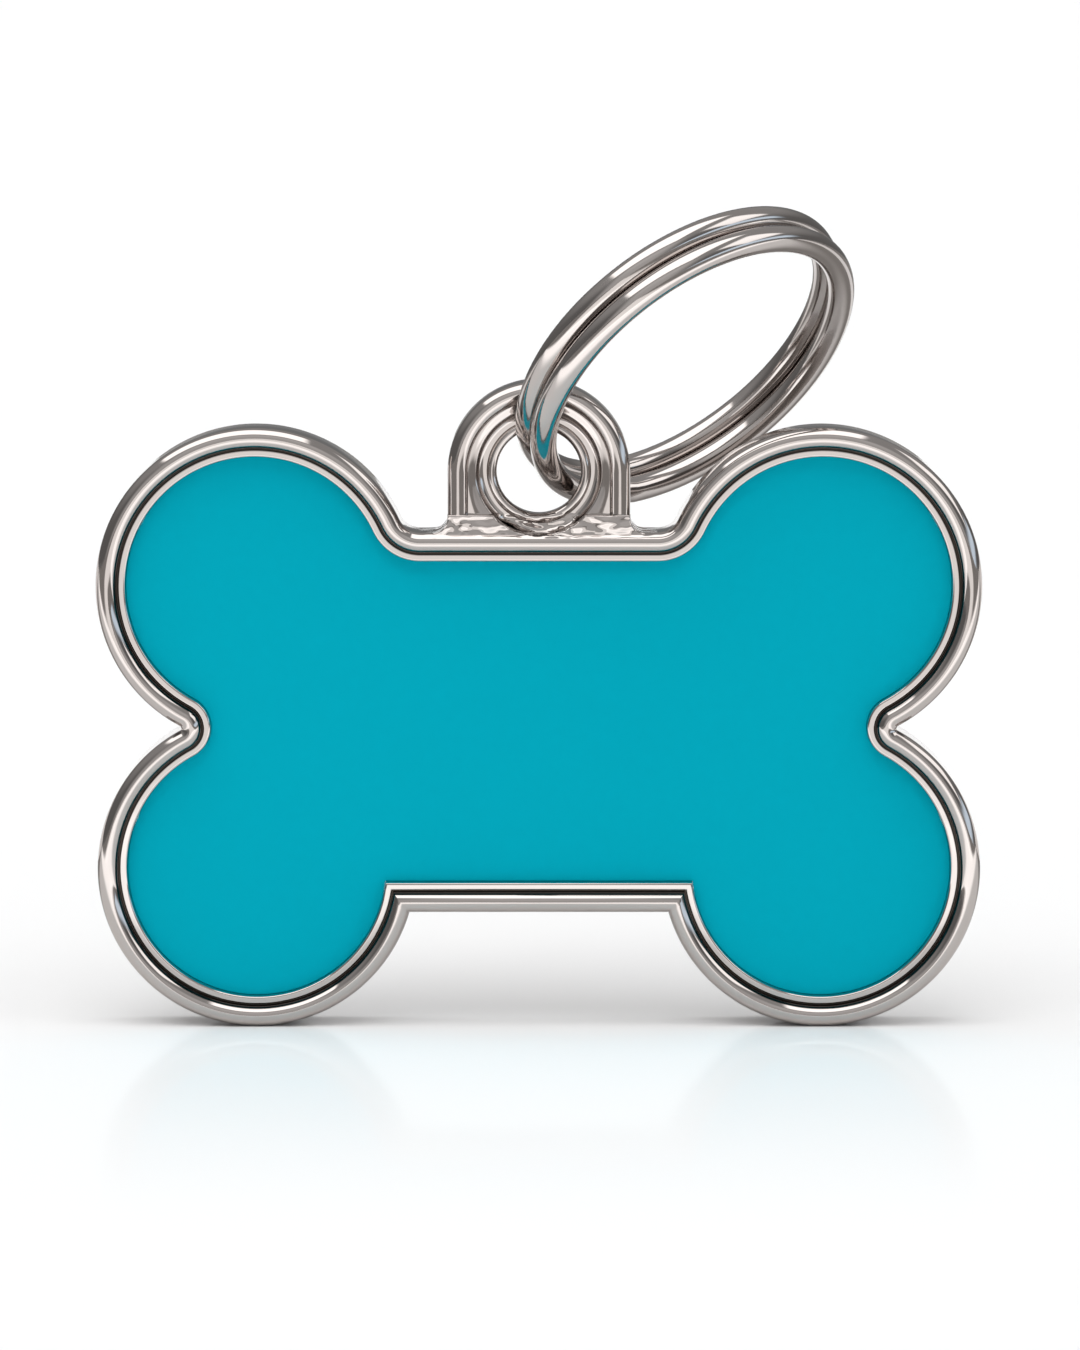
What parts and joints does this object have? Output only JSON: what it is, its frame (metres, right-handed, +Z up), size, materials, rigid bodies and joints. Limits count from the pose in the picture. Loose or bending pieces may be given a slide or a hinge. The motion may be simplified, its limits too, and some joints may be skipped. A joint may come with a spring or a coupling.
{
  "type": "pet id tag",
  "caption": "Bone-shaped metal pet tag with a beaded rim, a recessed coloured plate and an arched bail that carries a double-coil split ring for a collar.",
  "frame": {"origin": "middle of the tag's flat back face, on the mirror line and halfway between its upper and lower ends", "axes": "+X to the tag's right as seen from the front, +Y out of the flat back, +Z up towards the bail; the front faces -Y"},
  "size_m": [0.04, 0.015, 0.0373],
  "materials": {
    "plated_zinc": "polished, nickel or chrome plated casting",
    "plate_coat": "satin turquoise coating on thin aluminium",
    "bond_film": "double-sided bonding film, hidden",
    "plated_steel": "polished, nickel plated spring steel wire"
  },
  "bodies": {
    "tag": {"tag_frame": "plated_zinc", "front_plate": "plate_coat", "plate_film": "bond_film"},
    "ring": {"split_ring": "plated_steel"}
  },
  "joints": [
    {"name": "ring_swing", "type": "hinge", "parent": "tag", "child": "ring", "pos_m": [0, -0.0015, 0.0116], "axis": [1, 0, 0], "range_deg": [0, 52]}
  ]
}
